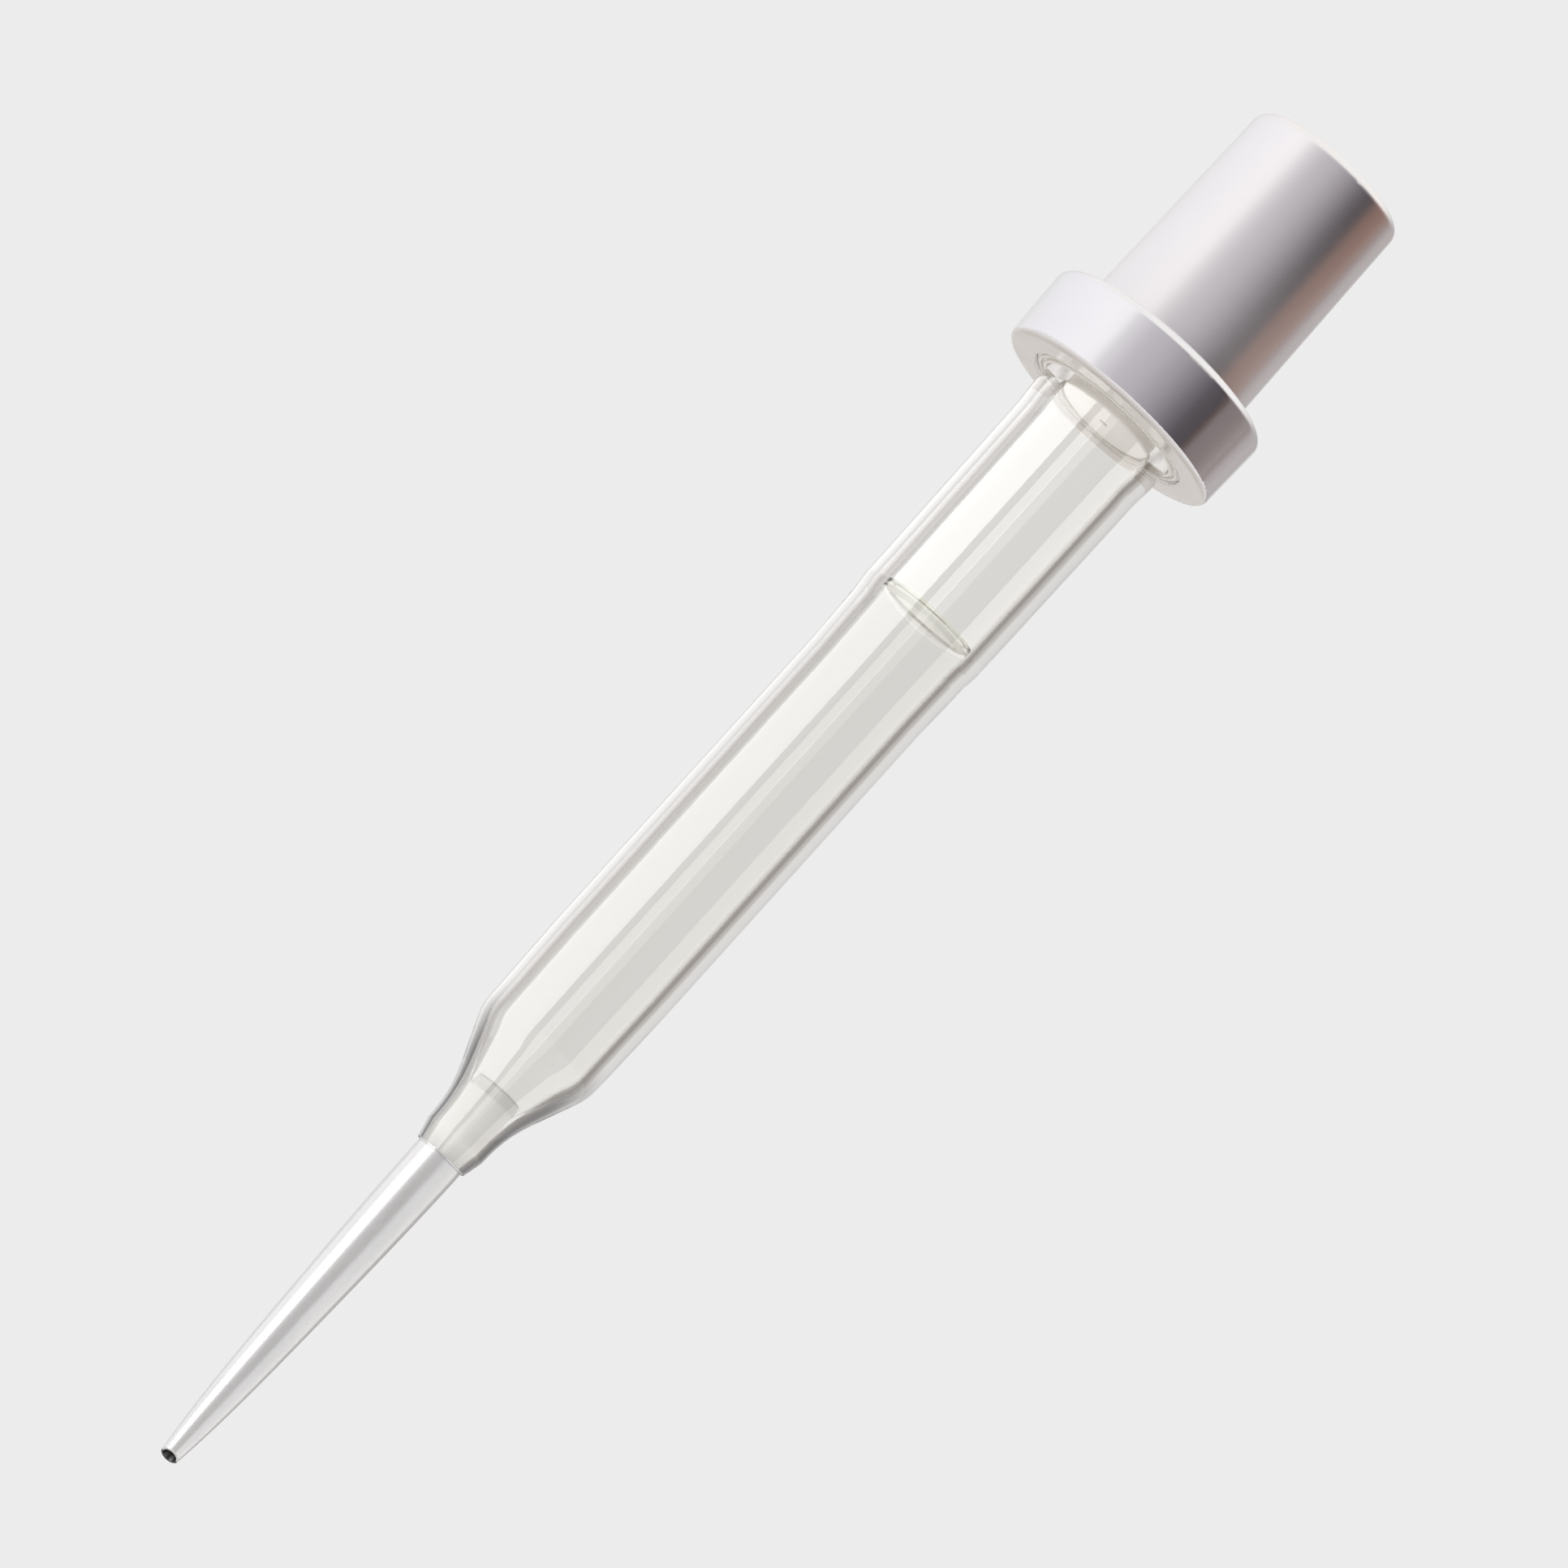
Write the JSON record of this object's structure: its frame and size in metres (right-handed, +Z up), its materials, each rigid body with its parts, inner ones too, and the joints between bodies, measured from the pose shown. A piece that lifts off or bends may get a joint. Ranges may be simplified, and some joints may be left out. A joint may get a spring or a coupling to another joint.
{
  "type": "push-button volumetric pipette",
  "caption": "Small push-button pipette: pearl button on a round collar, thick glass barrel with a fill step, tapered dispensing tip.",
  "frame": {"origin": "on the pipette's axis, in the plane of the collar's flat underside", "axes": "+Z up the axis from the open tip to the button; every piece is turned about it, and the slanted cut at the tip's open end faces -Y"},
  "size_m": [0.02, 0.02, 0.1318],
  "materials": {
    "pearl": "satin",
    "core_plastic": "matte",
    "collar_gloss": "gloss",
    "ring_gloss": "gloss",
    "carrier_plastic": "matte",
    "silicone": "satin",
    "clamp_plastic": "matte",
    "gasket_rubber": "satin",
    "plug_rubber": "satin",
    "barrel_glass": "polished",
    "liquid": "polished",
    "tip_gloss": "gloss"
  },
  "bodies": {
    "head": {"collar_shell": "collar_gloss", "mouth_ring": "ring_gloss", "carrier": "carrier_plastic", "gasket": "gasket_rubber", "plug": "plug_rubber", "bulb": "silicone", "clamp_ring": "clamp_plastic"},
    "button": {"button_shell": "pearl", "button_core": "core_plastic"},
    "barrel": {"glass_barrel": "barrel_glass", "liquid_fill": "liquid"},
    "tip": {"tip": "tip_gloss"}
  },
  "joints": [
    {"name": "button_press", "type": "slide", "parent": "head", "child": "button", "axis": [0, 0, -1], "range_m": [0, 0.003], "stiffness_N_per_m": 1200, "springref_m": -0.0012, "deforming": ["bulb"]},
    {"name": "barrel_pull", "type": "slide", "parent": "head", "child": "barrel", "axis": [0, 0, -1], "range_m": [0, 0.01]},
    {"name": "tip_pull", "type": "slide", "parent": "barrel", "child": "tip", "axis": [0, 0, -1], "range_m": [0, 0.01]}
  ]
}
